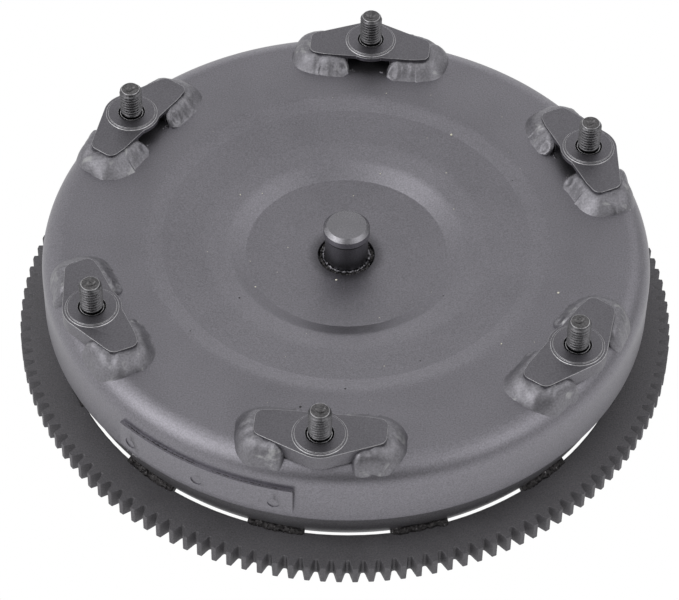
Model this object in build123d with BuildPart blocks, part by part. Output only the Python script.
from build123d import *
import os
from math import asin, cos, degrees, pi, radians, sin

# ---------------------------------------------------------------------------
# Torque converter with lock-up clutch, 260 mm class.
# Frame: +Z is the rotation axis and points to the engine; "front" is the +Z
# side and "rear" the -Z side. Z = 0 is the plane of the six drive pads, where
# the drive plate bolts on. All lengths in mm, all angles in degrees.
# The dimensions here are shared; each section starts with its own. Profiles
# that are revolved are tables of (radius, z).
# ---------------------------------------------------------------------------

# Front cover
COVER_R = 133.0
COVER_BORE_R = 127.9
LIP_Z = -39.0
ANNULUS_Z = -8.0              # flat front face that carries the lugs
ANNULUS_T = 5.0
RECESS_Z = -21.4              # seat of the pilot's collar
COVER_INSIDE_Z = -23.8
PILOT_SPIGOT_R = 8.0

# Lugs, studs and their weld beads
LUG_COUNT = 6
LUG_PHASE = 30.0
BOLT_CIRCLE_R = 118.5
LUG_FOOT_Z = ANNULUS_Z

# Ring gear
RING_BORE_R = 127.1
RING_REAR_Z = -65.0
RING_FRONT_Z = -56.1
WELD_BITE = 0.15              # depth a weld bead sinks into what it joins

# Impeller (pump): the shell's section is an ellipse
IMPELLER_CENTRE = (84.5, -46.8)
IMPELLER_OUTER = (43.3, 27.5)     # half axes of the outer surface
IMPELLER_INNER = (39.8, 24.0)     # half axes of the flow surface
IMPELLER_REAR_Z, IMPELLER_FRONT_Z = -65.0, -61.5      # faces of the flat flange
SKIRT_R = IMPELLER_CENTRE[0] + IMPELLER_OUTER[0]
HUB_SEAT_R = 34.0
HUB_FRONT_Z = -61.0

# Turbine, and the core rings that share its centre
TURBINE_CENTRE = (84.5, -48.0)
TURBINE_OUTER = (37.5, 18.0)
TURBINE_INNER = (35.5, 16.0)
TURBINE_REAR_Z, TURBINE_FRONT_Z = -35.0, -33.0        # faces of the flat flange
CORE_OUTER = (15.0, 8.5)
CORE_INNER = (13.8, 7.3)
BLADE_BITE = 0.2              # depth a blade sinks into shell, flange and core ring
TURBINE_RIVETS = 8
TURBINE_RIVET_PITCH_R = 51.5
TURBINE_RIVET_R = 2.5
TURBINE_HUB_FRONT_Z = -30.0   # front face of the hub's flange

# Stator and one-way clutch
STATOR_BORE_R = 40.0
RACE_REAR_Z, RACE_FRONT_Z = -56.0, -40.0
RACE_LENGTH = RACE_FRONT_Z - RACE_REAR_Z
CAP_T = 2.0
SNAP_GROOVE_Z = RACE_FRONT_Z + CAP_T

# Lock-up piston and damper
SPRINGS = 8
SPRING_PITCH_R = 113.5
PISTON_R = 121.0
PISTON_REAR_Z, PISTON_FRONT_Z = -18.3, -15.3          # faces of the piston's flat rim
RETAINER_T = 1.8
RETAINER_REAR_Z = PISTON_REAR_Z - RETAINER_T
RETAINER_RIVETS = 16
RETAINER_RIVET_PITCH_R = 96.0
RETAINER_RIVET_R = 1.8

os.makedirs("parts", exist_ok=True)


# ---------------------------------------------------------------------------
# Helpers: each one that models opens and closes its own builder
# ---------------------------------------------------------------------------
def save(name, part):
    """Label a part and write its STEP file."""
    part.label = name
    export_step(part, f"parts/{name}.step")


def turned(profile, start_angle=0, arc=360):
    """Revolve a closed (radius, z) profile about the axis."""
    with BuildPart() as solid:
        with BuildSketch(Plane.XZ.rotated((0, 0, start_angle))):
            with BuildLine():
                Polyline(*profile, close=True)
            make_face()
        revolve(axis=Axis.Z, revolution_arc=arc)
    return solid.part


def save_ring(name, outer_r, inner_r, rear_z, thickness):
    """Save a plain flat ring."""
    with BuildPart() as ring:
        with BuildSketch(Plane.XY.offset(rear_z)):
            Circle(outer_r)
            Circle(inner_r, mode=Mode.SUBTRACT)
        extrude(amount=thickness)
    save(name, ring.part)


def repeated(part, radius, count, start_angle=0):
    """Copies of a part, evenly spaced round the axis."""
    with BuildPart() as copies:
        with PolarLocations(radius, count, start_angle=start_angle):
            add(part)
    return copies.part


def radial(angle):
    """Unit vector that points outwards at an angle from +X."""
    return Vector(cos(radians(angle)), sin(radians(angle)), 0)


def angle_at(z, centre, half_axes):
    """Parameter angle of the point at height z on an ellipse's inner side."""
    return 180 - degrees(asin((z - centre[1]) / half_axes[1]))


def grown(half_axes, amount):
    """Half axes of an ellipse, each longer by the amount."""
    return half_axes[0] + amount, half_axes[1] + amount


def blade_sheet(plan_arc, thickness, rear_z, height):
    """Sheet whose plan is a three-point arc thickened towards +Y."""
    with BuildPart() as sheet:
        with BuildSketch(Plane.XY.offset(rear_z)):
            with BuildLine():
                low_face = ThreePointArc(*plan_arc)
                high_face = ThreePointArc(*[(x, y + thickness) for x, y in plan_arc])
                Line(low_face @ 0, high_face @ 0)
                Line(low_face @ 1, high_face @ 1)
            make_face()
        extrude(amount=height)
    return sheet.part


# ---------------------------------------------------------------------------
# Front cover: dished steel pressing
# ---------------------------------------------------------------------------
RECESS_R = 12.3
SHOULDER_R = 11.2             # round between the annulus and the wall
ANNULUS_REAR_Z = ANNULUS_Z - ANNULUS_T

COVER_PROFILE = (
    # front surface, outwards from the recess
    (RECESS_R, RECESS_Z), (RECESS_R, -19.2), (44.0, -17.7), (52.0, -13.9),
    (62.0, -11.7), (80.5, -9.9), (88.8, ANNULUS_Z), (COVER_R, ANNULUS_Z),
    # lip
    (COVER_R, LIP_Z), (COVER_BORE_R, LIP_Z),
    # rear surface, inwards to the pilot's hole
    (COVER_BORE_R, ANNULUS_REAR_Z), (88.0, ANNULUS_REAR_Z), (82.0, -14.9), (62.0, -16.9),
    (53.0, -19.3), (45.0, -22.9), (22.0, COVER_INSIDE_Z), (PILOT_SPIGOT_R, COVER_INSIDE_Z),
    (PILOT_SPIGOT_R, RECESS_Z),
)
COVER_FILLETS = (             # (radius, z) of the corner, fillet radius
    ((COVER_R, ANNULUS_Z), SHOULDER_R), ((COVER_BORE_R, ANNULUS_REAR_Z), 6.1),
    ((52.0, -13.9), 16.0), ((62.0, -11.7), 40.0), ((88.8, ANNULUS_Z), 22.0),
    ((53.0, -19.3), 8.0), ((62.0, -16.9), 20.0), ((45.0, -22.9), 4.0),
    ((COVER_R, LIP_Z), 0.6), ((RECESS_R, -19.2), 0.5),
)

with BuildPart() as front_cover:
    with BuildSketch(Plane.XZ) as cover_section:
        with BuildLine():
            Polyline(*COVER_PROFILE, close=True)
        make_face()
        for corner, fillet_r in COVER_FILLETS:
            picked = [v for v in cover_section.vertices()
                      if abs(v.X - corner[0]) < 0.01 and abs(v.Y - corner[1]) < 0.01]
            fillet(picked, radius=fillet_r)
    revolve(axis=Axis.Z)
save("front_cover", front_cover.part)

# ---------------------------------------------------------------------------
# Pilot: turned spigot that centres the converter in the crankshaft
# ---------------------------------------------------------------------------
PILOT_R = 10.2
PILOT_FRONT_Z = -0.7
PILOT_NECK_R = 9.1
PILOT_COLLAR_R = 10.4

save("pilot", turned((
    (0, PILOT_FRONT_Z), (8.5, PILOT_FRONT_Z), (PILOT_R, PILOT_FRONT_Z - 1.7),
    (PILOT_R, -5.6), (9.6, -6.2), (PILOT_NECK_R, -6.2), (PILOT_NECK_R, -17.2),
    (9.7, -17.9), (PILOT_COLLAR_R, -18.3), (PILOT_COLLAR_R, RECESS_Z),
    (PILOT_SPIGOT_R, RECESS_Z), (PILOT_SPIGOT_R, COVER_INSIDE_Z), (0, COVER_INSIDE_Z),
)))

# ---------------------------------------------------------------------------
# Mounting lugs: in plan a flat inner edge, tapered flanks and an outer edge
# that is an arc about the stud. Local x is radial, local y tangential.
# ---------------------------------------------------------------------------
LUG_FRONT_Z = -0.8
LUG_APEX_R = 12.6
PAD_R = 10.5                  # pad that reaches Z = 0
PAD_FOOT_R = 11.4
PAD_FOOT_H = 0.25
STUD_HOLE_R = 5.95
POCKET_SIZE = (23.0, 19.5)    # radial, tangential
POCKET_SHIFT = 3.5            # of the pocket's centre, inwards from the stud
POCKET_DEPTH = 5.3

with BuildSketch() as lug_outline:
    with BuildLine():
        Polyline((-11.3, -20.0), (-11.3, 20.0), (-10.2, 27.4), (1.8, 27.4),
                 (11.5, 5.1), (11.5, -5.1), (1.8, -27.4), (-10.2, -27.4), close=True)
    make_face()
    # end corners, inner then outer, and last the bends in the inner edge
    fillet([v for v in lug_outline.vertices() if abs(v.Y) > 27 and v.X < 0], radius=3.6)
    fillet([v for v in lug_outline.vertices() if abs(v.Y) > 27 and v.X > 0], radius=4.2)
    fillet([v for v in lug_outline.vertices() if abs(abs(v.Y) - 20) < 0.1], radius=9.0)
    Circle(LUG_APEX_R)

with BuildPart() as lug_blank:
    with Locations((BOLT_CIRCLE_R, 0, LUG_FOOT_Z)):
        add(extrude(lug_outline.sketch, amount=LUG_FRONT_Z - LUG_FOOT_Z, mode=Mode.PRIVATE))
    for step_r, step_h in ((PAD_FOOT_R, PAD_FOOT_H), (PAD_R, -LUG_FRONT_Z)):
        with BuildSketch(Plane.XY.offset(LUG_FRONT_Z)):
            with Locations((BOLT_CIRCLE_R, 0)):
                Circle(step_r)
        extrude(amount=step_h)
    # hole for the stud, cut clear through
    with BuildSketch(Plane.XY.offset(1.0)):
        with Locations((BOLT_CIRCLE_R, 0)):
            Circle(STUD_HOLE_R)
    extrude(amount=-10.0, mode=Mode.SUBTRACT)
    # pocket that holds the stud's head
    with BuildSketch(Plane.XY.offset(LUG_FOOT_Z)):
        with Locations((BOLT_CIRCLE_R - POCKET_SHIFT, 0)):
            Rectangle(*POCKET_SIZE)
    extrude(amount=POCKET_DEPTH, mode=Mode.SUBTRACT)

for i in range(LUG_COUNT):
    lug_angle = LUG_PHASE + 360 / LUG_COUNT * i
    save(f"mounting_lug_{i + 1}", repeated(lug_blank.part, 0, 1, lug_angle))

# ---------------------------------------------------------------------------
# Drive studs: head in the lug's pocket, shoulder in the pad's hole, round shank
# ---------------------------------------------------------------------------
STUD_R = 4.95
STUD_FRONT_Z = 14.2
STUD_HEAD_R = 7.6
STUD_HEAD_REAR_Z, STUD_HEAD_FRONT_Z = -7.6, -2.7
STUD_SHOULDER_R = 5.6
STUD_GROOVE_R = 4.25          # inner wall of the groove round the shank's root
STUD_GROOVE_Z = -1.6

drive_stud = turned((
    (0, STUD_HEAD_REAR_Z), (STUD_HEAD_R, STUD_HEAD_REAR_Z), (STUD_HEAD_R, STUD_HEAD_FRONT_Z),
    (STUD_SHOULDER_R, STUD_HEAD_FRONT_Z), (STUD_SHOULDER_R, -0.35), (5.2, -0.2),
    (5.0, STUD_GROOVE_Z), (STUD_GROOVE_R, STUD_GROOVE_Z), (STUD_GROOVE_R, -0.7),
    (STUD_R, -0.1), (STUD_R, STUD_FRONT_Z - 1.1), (STUD_R - 0.9, STUD_FRONT_Z),
    (2.2, STUD_FRONT_Z), (0, STUD_FRONT_Z - 0.9),
))
save("drive_studs", repeated(drive_stud, BOLT_CIRCLE_R, LUG_COUNT, LUG_PHASE))

# ---------------------------------------------------------------------------
# Lug weld beads: one round each end of every lug, standing on the cover
# ---------------------------------------------------------------------------
BEAD_WIDTH = 6.6
BEAD_H = 5.8
BEAD_CHAMFER = 3.4
BEAD_LIMIT_R = 127.5          # the cover's shoulder falls away near here
CUT_Z = LUG_FOOT_Z - 1        # the cuts start below the bead and end above it
CUT_H = 12

with BuildPart() as lug_bead:
    with BuildSketch(Plane.XY.offset(LUG_FOOT_Z)):
        with Locations((BOLT_CIRCLE_R, 0)):
            add(offset(lug_outline.sketch, amount=BEAD_WIDTH, kind=Kind.ARC, mode=Mode.PRIVATE))
    extrude(amount=BEAD_H, dir=(0, 0, 1))
    front_rim = lug_bead.edges().group_by(Axis.Z)[-1]
    chamfer(front_rim, length=BEAD_CHAMFER)
    with BuildSketch(Plane.XY.offset(CUT_Z)):
        with Locations((BOLT_CIRCLE_R, 0)):
            add(lug_outline.sketch)
    extrude(amount=CUT_H, mode=Mode.SUBTRACT)
    # clear of the pocket's mouth on the inner side and of the apex outside
    with BuildSketch(Plane.XY.offset(CUT_Z)):
        with Locations((BOLT_CIRCLE_R - 15, 0)):
            Rectangle(30, 20)
        with Locations((BOLT_CIRCLE_R + 15, 0)):
            Rectangle(30, 30)
    extrude(amount=CUT_H, mode=Mode.SUBTRACT)
    with BuildSketch(Plane.XY.offset(CUT_Z)):
        Circle(COVER_R + 30)
        Circle(BEAD_LIMIT_R, mode=Mode.SUBTRACT)
    extrude(amount=CUT_H, mode=Mode.SUBTRACT)
save("lug_welds", repeated(lug_bead.part, 0, LUG_COUNT, LUG_PHASE))

# ---------------------------------------------------------------------------
# Balance weight: strip bent to the cover's wall, three projection-weld dimples
# ---------------------------------------------------------------------------
WEIGHT_START = -129.1
WEIGHT_ARC = 35.1
WEIGHT_R = COVER_R + 2.0      # outer face
WEIGHT_REAR_Z, WEIGHT_FRONT_Z = -33.5, -20.0
DIMPLE_ANGLES = (-126.7, -112.1, -97.5)
DIMPLE_R = 2.5
DIMPLE_Z = -29.2
DIMPLE_DEPTH = 0.45
DIMPLE_CLEARANCE = 2          # the cut starts this far outside the strip

weight_strip = turned(
    ((COVER_R, WEIGHT_REAR_Z), (WEIGHT_R, WEIGHT_REAR_Z),
     (WEIGHT_R, WEIGHT_FRONT_Z), (COVER_R, WEIGHT_FRONT_Z)),
    WEIGHT_START, WEIGHT_ARC,
)
with BuildPart() as balance_weight:
    add(weight_strip)
    for angle in DIMPLE_ANGLES:
        outwards = radial(angle)
        dimple_start = outwards * (WEIGHT_R + DIMPLE_CLEARANCE) + Vector(0, 0, DIMPLE_Z)
        with BuildSketch(Plane(origin=dimple_start, z_dir=outwards)):
            Circle(DIMPLE_R)
        extrude(amount=-(DIMPLE_CLEARANCE + DIMPLE_DEPTH), mode=Mode.SUBTRACT)
save("balance_weight", balance_weight.part)

# ---------------------------------------------------------------------------
# Closure weld: ring under the cover's lip, with the lump where its ends overlap
# ---------------------------------------------------------------------------
LUMP_START = -130.2
LUMP_ARC = 6.5

closure_bead = turned((
    (SKIRT_R - WELD_BITE, LIP_Z + WELD_BITE), (131.0, LIP_Z + WELD_BITE), (130.2, -40.7),
    (SKIRT_R - WELD_BITE, -42.2),
))
closure_lump = turned(
    ((SKIRT_R - 0.1, -40.0), (129.0, LIP_Z + 0.05), (132.6, LIP_Z + 0.05),
     (132.4, -41.2), (130.8, -42.8), (SKIRT_R - 0.1, -43.4)),
    LUMP_START, LUMP_ARC,
)
with BuildPart() as closure_weld:
    add(closure_bead)
    add(closure_lump)
save("closure_weld", closure_weld.part)

# ---------------------------------------------------------------------------
# Starter ring gear: stub teeth, flanks drawn as three chords
# ---------------------------------------------------------------------------
TEETH = 135
DIAMETRAL_PITCH = 12
MODULE = 25.4 / DIAMETRAL_PITCH
TIP_R = (TEETH + 2) * MODULE / 2
PITCH_R = TEETH * MODULE / 2
ROOT_R = 140.2
TOOTH_PHASE = -0.288          # centre of the tooth nearest +X
RING_CHAMFER = 0.5

TOOTH = (                     # radius, offset from the tooth's centre along the arc
    (ROOT_R, -2.75), (ROOT_R + 0.6, -2.32), (PITCH_R, -1.72), (TIP_R, -1.08),
    (TIP_R, 1.08), (PITCH_R, 1.72), (ROOT_R + 0.6, 2.32), (ROOT_R, 2.75),
)

ring_points = []
for i in range(TEETH):
    for radius, arc_offset in TOOTH:
        angle = radians(TOOTH_PHASE + 360 / TEETH * i) + arc_offset / radius
        ring_points.append((radius * cos(angle), radius * sin(angle)))

with BuildPart() as ring_gear:
    with BuildSketch(Plane.XY.offset(RING_REAR_Z)):
        with BuildLine():
            Polyline(*ring_points, close=True)
        make_face()
        Circle(RING_BORE_R, mode=Mode.SUBTRACT)
    extrude(amount=RING_FRONT_Z - RING_REAR_Z)
    bore_edges = ring_gear.edges().filter_by(GeomType.CIRCLE)
    chamfer(bore_edges, length=RING_CHAMFER)
save("ring_gear", ring_gear.part)

# ---------------------------------------------------------------------------
# Ring gear weld beads: between the ring's bore and the impeller shell
# ---------------------------------------------------------------------------
RING_WELD_COUNT = 13
RING_WELD_PHASE = -125.7      # middle of one bead
RING_WELD_ARC = 11.4

ring_bead = turned(
    ((126.0, -53.6), (127.6, -53.9), (128.9, -55.0), (129.5, RING_FRONT_Z - WELD_BITE),
     (RING_BORE_R + WELD_BITE, RING_FRONT_Z - WELD_BITE), (RING_BORE_R + WELD_BITE, -58.2),
     (122.9, -58.2), (124.4, RING_FRONT_Z)),
    -RING_WELD_ARC / 2, RING_WELD_ARC,
)
save("ring_gear_welds", repeated(ring_bead, 0, RING_WELD_COUNT, RING_WELD_PHASE))

# ---------------------------------------------------------------------------
# Impeller shell: squashed torus with a straight skirt that enters the cover
# ---------------------------------------------------------------------------
SKIRT_FRONT_Z = -21.0
SKIRT_BORE_R = IMPELLER_CENTRE[0] + IMPELLER_INNER[0]

with BuildPart() as impeller_shell:
    with BuildSketch(Plane.XZ):
        with BuildLine():
            outer_start = angle_at(IMPELLER_REAR_Z, IMPELLER_CENTRE, IMPELLER_OUTER) - 360
            inner_start = angle_at(IMPELLER_FRONT_Z, IMPELLER_CENTRE, IMPELLER_INNER) - 360
            outer_arc = EllipticalCenterArc(IMPELLER_CENTRE, *IMPELLER_OUTER, outer_start,
                                            arc_size=-outer_start)
            inner_arc = EllipticalCenterArc(IMPELLER_CENTRE, *IMPELLER_INNER, inner_start,
                                            arc_size=-inner_start)
            Line(outer_arc @ 1, (SKIRT_R, SKIRT_FRONT_Z))
            Line((SKIRT_R, SKIRT_FRONT_Z), (SKIRT_BORE_R, SKIRT_FRONT_Z))
            Line((SKIRT_BORE_R, SKIRT_FRONT_Z), inner_arc @ 1)
            Line(inner_arc @ 0, (HUB_SEAT_R, IMPELLER_FRONT_Z))
            Line((HUB_SEAT_R, IMPELLER_FRONT_Z), (HUB_SEAT_R, IMPELLER_REAR_Z))
            Line((HUB_SEAT_R, IMPELLER_REAR_Z), outer_arc @ 0)
        make_face()
    revolve(axis=Axis.Z)
save("impeller_shell", impeller_shell.part)

# ---------------------------------------------------------------------------
# Impeller hub: tube that drives the oil pump, two slots across its rear end
# ---------------------------------------------------------------------------
HUB_R = 21.0
HUB_BORE_R = 16.5
HUB_REAR_Z = -117.0
HUB_SLOT_WIDTH = 9.0
HUB_SLOT_DEPTH = 9.0

hub_blank = turned((
    (HUB_BORE_R, HUB_FRONT_Z), (HUB_SEAT_R, HUB_FRONT_Z), (HUB_SEAT_R, IMPELLER_REAR_Z),
    (HUB_R + 1.5, IMPELLER_REAR_Z), (HUB_R, IMPELLER_REAR_Z - 1.5), (HUB_R, HUB_REAR_Z + 1.5),
    (HUB_R - 1.0, HUB_REAR_Z), (HUB_BORE_R + 0.6, HUB_REAR_Z), (HUB_BORE_R, HUB_REAR_Z + 0.6),
))
with BuildPart() as impeller_hub:
    add(hub_blank)
    with BuildSketch(Plane.XY.offset(HUB_REAR_Z)):
        Rectangle(HUB_SLOT_WIDTH, 2 * HUB_R + 10)
    extrude(amount=HUB_SLOT_DEPTH, mode=Mode.SUBTRACT)
save("impeller_hub", impeller_hub.part)

# Hub weld: rounded bead over the joint of hub and shell
HUB_WELD_R = 34.2
HUB_WELD_HALF_WIDTH = 3.2
HUB_WELD_H = 1.9

with BuildPart() as hub_weld:
    with BuildSketch(Plane.XZ):
        with BuildLine():
            chord_z = IMPELLER_REAR_Z + WELD_BITE
            chord = Line((HUB_WELD_R - HUB_WELD_HALF_WIDTH, chord_z),
                         (HUB_WELD_R + HUB_WELD_HALF_WIDTH, chord_z))
            ThreePointArc(chord @ 0, (HUB_WELD_R, IMPELLER_REAR_Z - HUB_WELD_H), chord @ 1)
        make_face()
    revolve(axis=Axis.Z)
save("hub_weld", hub_weld.part)

# ---------------------------------------------------------------------------
# Impeller blades: a sheet curved in plan, trimmed to the flow passage
# ---------------------------------------------------------------------------
BLADE_CORE = grown(CORE_OUTER, -BLADE_BITE)
BLADE_CORE_GAP = 3.5          # angle left clear at each end of the core's half ellipse
BLADE_CORE_ARC = 180 - 2 * BLADE_CORE_GAP
BLADE_EYE_R = 68.9            # inner edge of a blade beside the stator
IMPELLER_BLADES = 31
IMPELLER_BLADE_END = -8.32    # angle on the shell's ellipse

impeller_sheet = blade_sheet(((52, 0), (88, 7.0), (126, 1.0)), thickness=1.3,
                             rear_z=-75, height=30)
with BuildPart() as impeller_blade:
    add(impeller_sheet)
    with BuildSketch(Plane.XZ):
        with BuildLine():
            half_axes = grown(IMPELLER_INNER, BLADE_BITE)
            flange_z = IMPELLER_FRONT_Z - BLADE_BITE
            start = angle_at(flange_z, IMPELLER_CENTRE, half_axes) - 360
            outer = EllipticalCenterArc(IMPELLER_CENTRE, *half_axes, start,
                                        arc_size=IMPELLER_BLADE_END - start)
            core = EllipticalCenterArc(TURBINE_CENTRE, *BLADE_CORE, 180 + BLADE_CORE_GAP,
                                       arc_size=BLADE_CORE_ARC)
            Line(core @ 1, outer @ 1)
            Polyline(outer @ 0, (57.0, flange_z), (57.0, -57.8), (BLADE_EYE_R, -57.8),
                     (BLADE_EYE_R, -49.0), core @ 0)
        make_face()
    revolve(axis=Axis.Z, mode=Mode.INTERSECT)
save("impeller_blades", repeated(impeller_blade.part, 0, IMPELLER_BLADES))

# ---------------------------------------------------------------------------
# Core rings: the inner halves of the flow passage
# ---------------------------------------------------------------------------
CORE_OUTER_GAP = 3.4          # angles left clear at each end of the half ellipses
CORE_INNER_GAP = 4.0

for name, side_angle in (("impeller_core_ring", 180), ("turbine_core_ring", 0)):
    with BuildPart() as core_ring:
        with BuildSketch(Plane.XZ):
            with BuildLine():
                big = EllipticalCenterArc(TURBINE_CENTRE, *CORE_OUTER,
                                          side_angle + CORE_OUTER_GAP,
                                          arc_size=180 - 2 * CORE_OUTER_GAP)
                small = EllipticalCenterArc(TURBINE_CENTRE, *CORE_INNER,
                                            side_angle + CORE_INNER_GAP,
                                            arc_size=180 - 2 * CORE_INNER_GAP)
                Line(big @ 0, small @ 0)
                Line(big @ 1, small @ 1)
            make_face()
        revolve(axis=Axis.Z)
    save(name, core_ring.part)

# ---------------------------------------------------------------------------
# Turbine shell
# ---------------------------------------------------------------------------
TURBINE_SHELL_BORE_R = 30.0

with BuildPart() as turbine_shell:
    with BuildSketch(Plane.XZ):
        with BuildLine():
            outer_end = angle_at(TURBINE_FRONT_Z, TURBINE_CENTRE, TURBINE_OUTER)
            inner_end = angle_at(TURBINE_REAR_Z, TURBINE_CENTRE, TURBINE_INNER)
            outer_arc = EllipticalCenterArc(TURBINE_CENTRE, *TURBINE_OUTER, 0, arc_size=outer_end)
            inner_arc = EllipticalCenterArc(TURBINE_CENTRE, *TURBINE_INNER, 0, arc_size=inner_end)
            Line(outer_arc @ 0, inner_arc @ 0)
            Polyline(outer_arc @ 1, (TURBINE_SHELL_BORE_R, TURBINE_FRONT_Z),
                     (TURBINE_SHELL_BORE_R, TURBINE_REAR_Z), inner_arc @ 1)
        make_face()
    revolve(axis=Axis.Z)
    with BuildSketch(Plane.XY.offset(TURBINE_REAR_Z - 1)):
        with PolarLocations(TURBINE_RIVET_PITCH_R, TURBINE_RIVETS):
            Circle(TURBINE_RIVET_R)
    extrude(amount=4, mode=Mode.SUBTRACT)
save("turbine_shell", turbine_shell.part)

# ---------------------------------------------------------------------------
# Turbine blades: made like the impeller's
# ---------------------------------------------------------------------------
TURBINE_BLADES = 29
TURBINE_BLADE_START = 1.77    # angle on the shell's ellipse

turbine_sheet = blade_sheet(((52, 0), (86, -13.0), (124, 2.0)), thickness=1.0,
                            rear_z=-50, height=30)
with BuildPart() as turbine_blade:
    add(turbine_sheet)
    with BuildSketch(Plane.XZ):
        with BuildLine():
            half_axes = grown(TURBINE_INNER, BLADE_BITE)
            flange_z = TURBINE_REAR_Z + BLADE_BITE
            end = angle_at(flange_z, TURBINE_CENTRE, half_axes)
            outer = EllipticalCenterArc(TURBINE_CENTRE, *half_axes, TURBINE_BLADE_START,
                                        arc_size=end - TURBINE_BLADE_START)
            core = EllipticalCenterArc(TURBINE_CENTRE, *BLADE_CORE, BLADE_CORE_GAP,
                                       arc_size=BLADE_CORE_ARC)
            Line(core @ 0, outer @ 0)
            Polyline(outer @ 1, (58.0, flange_z), (58.0, -37.6), (BLADE_EYE_R, -37.6),
                     (BLADE_EYE_R, -47.0), core @ 1)
        make_face()
    revolve(axis=Axis.Z, mode=Mode.INTERSECT)
save("turbine_blades", repeated(turbine_blade.part, 0, TURBINE_BLADES))

# ---------------------------------------------------------------------------
# Turbine hub: splined bore, flange for the shell, groove for the seal ring
# ---------------------------------------------------------------------------
TURBINE_BORE_R = 11.4
TURBINE_HUB_R = 22.0
TURBINE_HUB_TIP_Z = -24.9
SEAL_GROOVE_R = 20.4
SEAL_GROOVE_REAR_Z, SEAL_GROOVE_FRONT_Z = -27.0, -25.6
TURBINE_SPLINES = 24
TURBINE_SPLINE_R = 12.0       # centre of a spline groove
TURBINE_SPLINE_SIZE = (1.6, 1.5)      # radial, tangential

turbine_hub_blank = turned((
    (TURBINE_BORE_R, -38.5), (16.0, -38.5), (16.0, TURBINE_REAR_Z), (29.95, TURBINE_REAR_Z),
    (29.95, TURBINE_FRONT_Z), (57.0, TURBINE_FRONT_Z), (57.0, TURBINE_HUB_FRONT_Z),
    (TURBINE_HUB_R, TURBINE_HUB_FRONT_Z), (TURBINE_HUB_R, SEAL_GROOVE_REAR_Z),
    (SEAL_GROOVE_R, SEAL_GROOVE_REAR_Z), (SEAL_GROOVE_R, SEAL_GROOVE_FRONT_Z),
    (TURBINE_HUB_R, SEAL_GROOVE_FRONT_Z), (TURBINE_HUB_R, TURBINE_HUB_TIP_Z),
    (TURBINE_BORE_R, TURBINE_HUB_TIP_Z),
))
with BuildPart() as turbine_hub:
    add(turbine_hub_blank)
    with BuildSketch(Plane.XY.offset(-39)):
        with PolarLocations(TURBINE_SPLINE_R, TURBINE_SPLINES):
            Rectangle(*TURBINE_SPLINE_SIZE)
    extrude(amount=16, mode=Mode.SUBTRACT)
    with BuildSketch(Plane.XY.offset(-36)):
        with PolarLocations(TURBINE_RIVET_PITCH_R, TURBINE_RIVETS):
            Circle(TURBINE_RIVET_R)
    extrude(amount=8, mode=Mode.SUBTRACT)
save("turbine_hub", turbine_hub.part)

# Rivets through the turbine's shell and hub
turbine_rivet = turned((
    (0, -36.0), (2.6, -36.0), (3.4, -35.4), (3.4, TURBINE_REAR_Z),
    (TURBINE_RIVET_R, TURBINE_REAR_Z), (TURBINE_RIVET_R, TURBINE_HUB_FRONT_Z),
    (3.6, TURBINE_HUB_FRONT_Z), (3.6, -29.2), (2.6, -28.5), (0, -28.5),
))
save("turbine_rivets", repeated(turbine_rivet, TURBINE_RIVET_PITCH_R, TURBINE_RIVETS))

# Seal ring in the hub's groove, and the washer between hub and cover
WASHER_T = 1.0
save_ring("piston_seal_ring", outer_r=21.95, inner_r=20.5, rear_z=-26.9, thickness=1.2)
save_ring("cover_thrust_washer", outer_r=21.0, inner_r=14.0,
          rear_z=COVER_INSIDE_Z - WASHER_T, thickness=WASHER_T)

# ---------------------------------------------------------------------------
# Damper: driven ring on the turbine, arc springs, retainer on the piston
# ---------------------------------------------------------------------------
DRIVEN_REAR_Z = -31.5
DRIVEN_T = 2.0
FINGER_H = 10.3
TAB_WIDTH = 6.0               # tangential width of every tab and finger

with BuildPart() as damper_driven_ring:
    with BuildSketch(Plane.XY.offset(DRIVEN_REAR_Z)):
        Circle(106.0)
        Circle(98.0, mode=Mode.SUBTRACT)
        with PolarLocations(110.0, SPRINGS):
            Rectangle(11.0, TAB_WIDTH)
    extrude(amount=DRIVEN_T)
    # fingers that stand between the springs' ends
    with BuildSketch(Plane.XY.offset(DRIVEN_REAR_Z)):
        with PolarLocations(SPRING_PITCH_R, SPRINGS):
            Rectangle(4.0, TAB_WIDTH)
    extrude(amount=FINGER_H)
save("damper_driven_ring", damper_driven_ring.part)

SPRING_Z = -25.4
SPRING_COIL_R = 3.7
SPRING_WIRE_R = 1.1
SPRING_MIDDLE = 180 / SPRINGS         # halfway between two fingers
SPRING_HALF_SPAN = 20.1
SPRING_TURNS = 9
TURN_CHORDS = 8               # straight chords in one turn of the coil

coil_points = []
for i in range(SPRING_TURNS * TURN_CHORDS + 1):
    fraction = i / (SPRING_TURNS * TURN_CHORDS)
    angle = radians(SPRING_MIDDLE - SPRING_HALF_SPAN + 2 * SPRING_HALF_SPAN * fraction)
    turn = 2 * pi * SPRING_TURNS * fraction
    radius = SPRING_PITCH_R + SPRING_COIL_R * cos(turn)
    coil_points.append((radius * cos(angle), radius * sin(angle),
                        SPRING_Z + SPRING_COIL_R * sin(turn)))

with BuildPart() as damper_spring:
    with BuildLine() as coil:
        Polyline(*coil_points)
    with BuildSketch(Plane(origin=coil.line @ 0, z_dir=coil.line % 0)):
        Circle(SPRING_WIRE_R)
    sweep(path=coil.line, transition=Transition.RIGHT)
save("damper_springs", repeated(damper_spring.part, 0, SPRINGS))

RETAINER_BORE_R = 92.0
RETAINER_RIM_R = 119.4        # inner face of the rim
RETAINER_RIM_REAR_Z = -30.0
RETAINER_TAB_REAR_Z = -28.9

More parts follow.
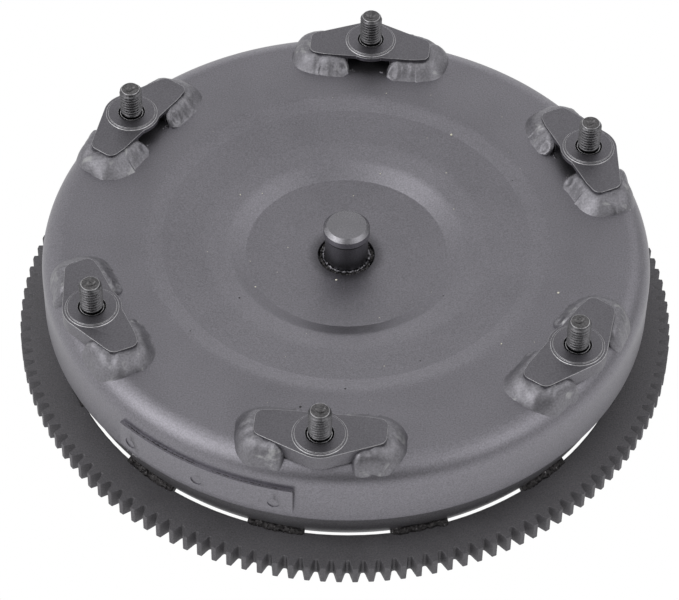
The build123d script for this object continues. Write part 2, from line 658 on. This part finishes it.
with BuildPart() as spring_retainer:
    with BuildSketch(Plane.XY.offset(RETAINER_REAR_Z)):
        Circle(PISTON_R)
        Circle(RETAINER_BORE_R, mode=Mode.SUBTRACT)
        with PolarLocations(RETAINER_RIVET_PITCH_R, RETAINER_RIVETS):
            Circle(RETAINER_RIVET_R, mode=Mode.SUBTRACT)
    extrude(amount=RETAINER_T)
    with BuildSketch(Plane.XY.offset(RETAINER_RIM_REAR_Z)):
        Circle(PISTON_R)
        Circle(RETAINER_RIM_R, mode=Mode.SUBTRACT)
    extrude(amount=RETAINER_REAR_Z - RETAINER_RIM_REAR_Z)
    # tabs on both sides of the driven ring's fingers
    with BuildSketch(Plane.XY.offset(RETAINER_TAB_REAR_Z)):
        with PolarLocations(109.75, SPRINGS):
            Rectangle(2.3, TAB_WIDTH)
        with PolarLocations(117.9, SPRINGS):
            Rectangle(3.6, TAB_WIDTH)
    extrude(amount=RETAINER_REAR_Z - RETAINER_TAB_REAR_Z)
save("spring_retainer", spring_retainer.part)

# ---------------------------------------------------------------------------
# Lock-up piston with its friction lining and the retainer's rivets
# ---------------------------------------------------------------------------
PISTON_BORE_R = 22.05
PISTON_TUBE_R = 25.5

piston_blank = turned((
    (PISTON_BORE_R, -29.4), (PISTON_TUBE_R, -29.4), (PISTON_TUBE_R, -27.8), (46.6, -27.8),
    (58.6, -23.4), (82.6, -21.4), (88.6, PISTON_REAR_Z), (PISTON_R, PISTON_REAR_Z),
    (PISTON_R, PISTON_FRONT_Z), (88.0, PISTON_FRONT_Z), (82.0, -18.5), (58.0, -20.5),
    (46.0, -25.0), (PISTON_BORE_R, -25.0),
))
with BuildPart() as lockup_piston:
    add(piston_blank)
    with BuildSketch(Plane.XY.offset(-19)):
        with PolarLocations(RETAINER_RIVET_PITCH_R, RETAINER_RIVETS):
            Circle(RETAINER_RIVET_R)
    extrude(amount=5, mode=Mode.SUBTRACT)
save("lockup_piston", lockup_piston.part)

save_ring("friction_lining", outer_r=118.0, inner_r=100.0, rear_z=PISTON_FRONT_Z, thickness=1.4)

RIVET_HEAD_R = 2.9
retainer_rivet = turned((
    (0, -21.2), (2.2, -21.2), (RIVET_HEAD_R, -20.7), (RIVET_HEAD_R, RETAINER_REAR_Z),
    (RETAINER_RIVET_R, RETAINER_REAR_Z), (RETAINER_RIVET_R, PISTON_FRONT_Z),
    (RIVET_HEAD_R, PISTON_FRONT_Z), (RIVET_HEAD_R, -14.8), (2.2, -14.3), (0, -14.3),
))
save("retainer_rivets", repeated(retainer_rivet, RETAINER_RIVET_PITCH_R, RETAINER_RIVETS))

# ---------------------------------------------------------------------------
# Stator wheel: aluminium casting, aerofoil blades between hub and shroud
# ---------------------------------------------------------------------------
STATOR_HUB_R = 47.0
STATOR_LIP_R = 37.5           # inner edge of the lip behind the rear cap
STATOR_REAR_Z, STATOR_FRONT_Z = -59.0, -36.2
SNAP_GROOVE_R = 41.2
SNAP_GROOVE_FRONT_Z = -36.9
SHROUD_INNER_R, SHROUD_OUTER_R = 66.0, 67.8
SHROUD_REAR_Z = -56.0
SHROUD_LENGTH = 16.0
STATOR_BLADES = 19
STATOR_BLADE_Z = -48
STATOR_BLADE_ROOT_R = 46.4    # just inside the hub
STATOR_BLADE_SPAN = 20.1      # ends inside the shroud

stator_hub = turned((
    (STATOR_LIP_R, STATOR_REAR_Z), (STATOR_HUB_R - 1, STATOR_REAR_Z),
    (STATOR_HUB_R, STATOR_REAR_Z + 1), (STATOR_HUB_R, STATOR_FRONT_Z - 1),
    (STATOR_HUB_R - 1, STATOR_FRONT_Z), (STATOR_BORE_R, STATOR_FRONT_Z),
    (STATOR_BORE_R, SNAP_GROOVE_FRONT_Z), (SNAP_GROOVE_R, SNAP_GROOVE_FRONT_Z),
    (SNAP_GROOVE_R, SNAP_GROOVE_Z), (STATOR_BORE_R, SNAP_GROOVE_Z),
    (STATOR_BORE_R, RACE_REAR_Z - CAP_T), (STATOR_LIP_R, RACE_REAR_Z - CAP_T),
))
with BuildPart() as stator_wheel:
    add(stator_hub)
    with BuildSketch(Plane.XY.offset(SHROUD_REAR_Z)):
        Circle(SHROUD_OUTER_R)
        Circle(SHROUD_INNER_R, mode=Mode.SUBTRACT)
    extrude(amount=SHROUD_LENGTH)
    # blade sections: local x is tangential, local y along the axis
    for i in range(STATOR_BLADES):
        outwards = radial(360 / STATOR_BLADES * i)
        root = outwards * STATOR_BLADE_ROOT_R + Vector(0, 0, STATOR_BLADE_Z)
        with BuildSketch(Plane(origin=root, x_dir=(-outwards.Y, outwards.X, 0), z_dir=outwards)):
            with BuildLine():
                Spline((-4.6, 6.2), (-2.4, 7.6), (2.6, 2.6), (5.6, -7.4),
                       tangents=[(0.15, 1), (0.12, -1)])
                Spline((5.6, -7.4), (4.9, -7.5), (0.2, 0.6), (-4.6, 6.2),
                       tangents=[(-0.5, -0.3), (-0.6, 1)])
            make_face()
    extrude(amount=STATOR_BLADE_SPAN)
save("stator_wheel", stator_wheel.part)

# ---------------------------------------------------------------------------
# One-way clutch: cammed outer race, rollers, springs, splined inner race, caps
# ---------------------------------------------------------------------------
ROLLERS = 12
ROLLER_R = 3.0
ROLLER_PITCH_R = 29.05
INNER_RACE_R = 26.0
INNER_RACE_BORE_R = 17.0

with BuildPart() as clutch_outer_race:
    with BuildSketch(Plane.XY.offset(RACE_REAR_Z)):
        Circle(STATOR_BORE_R - 0.02)
        Circle(INNER_RACE_R + 0.06, mode=Mode.SUBTRACT)
        # each pocket is a roller's seat and a spring's slot beside it
        for i in range(ROLLERS):
            with PolarLocations(0, 1, start_angle=360 / ROLLERS * i):
                with Locations((ROLLER_PITCH_R, 0)):
                    Circle(ROLLER_R + 0.05, mode=Mode.SUBTRACT)
                with Locations((ROLLER_PITCH_R - 0.3, -4.2)):
                    Rectangle(6.6, 8.4, mode=Mode.SUBTRACT)
    extrude(amount=RACE_LENGTH)
save("clutch_outer_race", clutch_outer_race.part)

with BuildPart() as clutch_rollers:
    with BuildSketch(Plane.XY.offset(RACE_REAR_Z + 0.5)):
        with PolarLocations(ROLLER_PITCH_R, ROLLERS):
            Circle(ROLLER_R)
    extrude(amount=RACE_LENGTH - 2 * 0.5)
save("clutch_rollers", clutch_rollers.part)

with BuildPart() as clutch_spring:
    with BuildSketch(Plane.XY.offset(RACE_REAR_Z + 2)):
        with BuildLine():
            Polyline((27.4, -7.9), (31.2, -7.2), (27.4, -6.4),
                     (31.2, -5.6), (27.4, -4.8), (31.2, -4.0))
        trace(line_width=0.3)
    extrude(amount=RACE_LENGTH - 2 * 2)
save("clutch_springs", repeated(clutch_spring.part, 0, ROLLERS))

with BuildPart() as clutch_inner_race:
    with BuildSketch(Plane.XY.offset(RACE_REAR_Z + 0.05)):
        Circle(INNER_RACE_R)
        Circle(INNER_RACE_BORE_R, mode=Mode.SUBTRACT)
        with PolarLocations(17.4, 30):
            Rectangle(1.9, 1.7, mode=Mode.SUBTRACT)
    extrude(amount=RACE_LENGTH - 2 * 0.05)
save("clutch_inner_race", clutch_inner_race.part)

for name, rear_z in (("clutch_rear_cap", RACE_REAR_Z - CAP_T), ("clutch_front_cap", RACE_FRONT_Z)):
    with BuildPart() as end_cap:
        with BuildSketch(Plane.XY.offset(rear_z)):
            Circle(STATOR_BORE_R - 0.05)
            Circle(19.0, mode=Mode.SUBTRACT)
            with PolarLocations(35.5, 8):
                Circle(1.6, mode=Mode.SUBTRACT)
        extrude(amount=CAP_T)
    save(name, end_cap.part)

with BuildPart() as stator_snap_ring:
    with BuildSketch(Plane.XY.offset(SNAP_GROOVE_Z + 0.05)):
        Circle(SNAP_GROOVE_R - 0.1)
        Circle(38.2, mode=Mode.SUBTRACT)
        # gap between the ring's ends
        with Locations((40, 0)):
            Rectangle(8, 9, mode=Mode.SUBTRACT)
    extrude(amount=1.0)
save("stator_snap_ring", stator_snap_ring.part)

# ---------------------------------------------------------------------------
# Needle thrust bearings on both sides of the stator
# ---------------------------------------------------------------------------
BEARING_R = 33.0
BEARING_BORE_R = 22.0
THRUST_RACE_T = 0.9
CAGE_T = 1.3
NEEDLES = 24
NEEDLE_R = 1.0
NEEDLE_LENGTH = 7.0
NEEDLE_START_R = 24.0
BEARINGS = (                  # side, rear face of the race, mid-plane of the needles
    ("rear", HUB_FRONT_Z, -59.05),
    ("front", TURBINE_REAR_Z - THRUST_RACE_T, -36.95),
)

for side, race_z, middle_z in BEARINGS:
    save_ring(f"{side}_thrust_race", BEARING_R, BEARING_BORE_R, race_z, THRUST_RACE_T)

    with BuildPart() as needle_cage:
        with BuildSketch(Plane.XY.offset(middle_z - CAGE_T / 2)):
            Circle(BEARING_R)
            Circle(BEARING_BORE_R, mode=Mode.SUBTRACT)
            with PolarLocations(NEEDLE_START_R + NEEDLE_LENGTH / 2, NEEDLES):
                Rectangle(NEEDLE_LENGTH + 0.2, 2 * NEEDLE_R + 0.1, mode=Mode.SUBTRACT)
        extrude(amount=CAGE_T)
    save(f"{side}_needle_cage", needle_cage.part)

    with BuildPart() as needles:
        for i in range(NEEDLES):
            outwards = radial(360 / NEEDLES * i)
            needle_start = outwards * NEEDLE_START_R + Vector(0, 0, middle_z)
            with BuildSketch(Plane(origin=needle_start, z_dir=outwards)):
                Circle(NEEDLE_R)
        extrude(amount=NEEDLE_LENGTH)
    save(f"{side}_needle_rollers", needles.part)
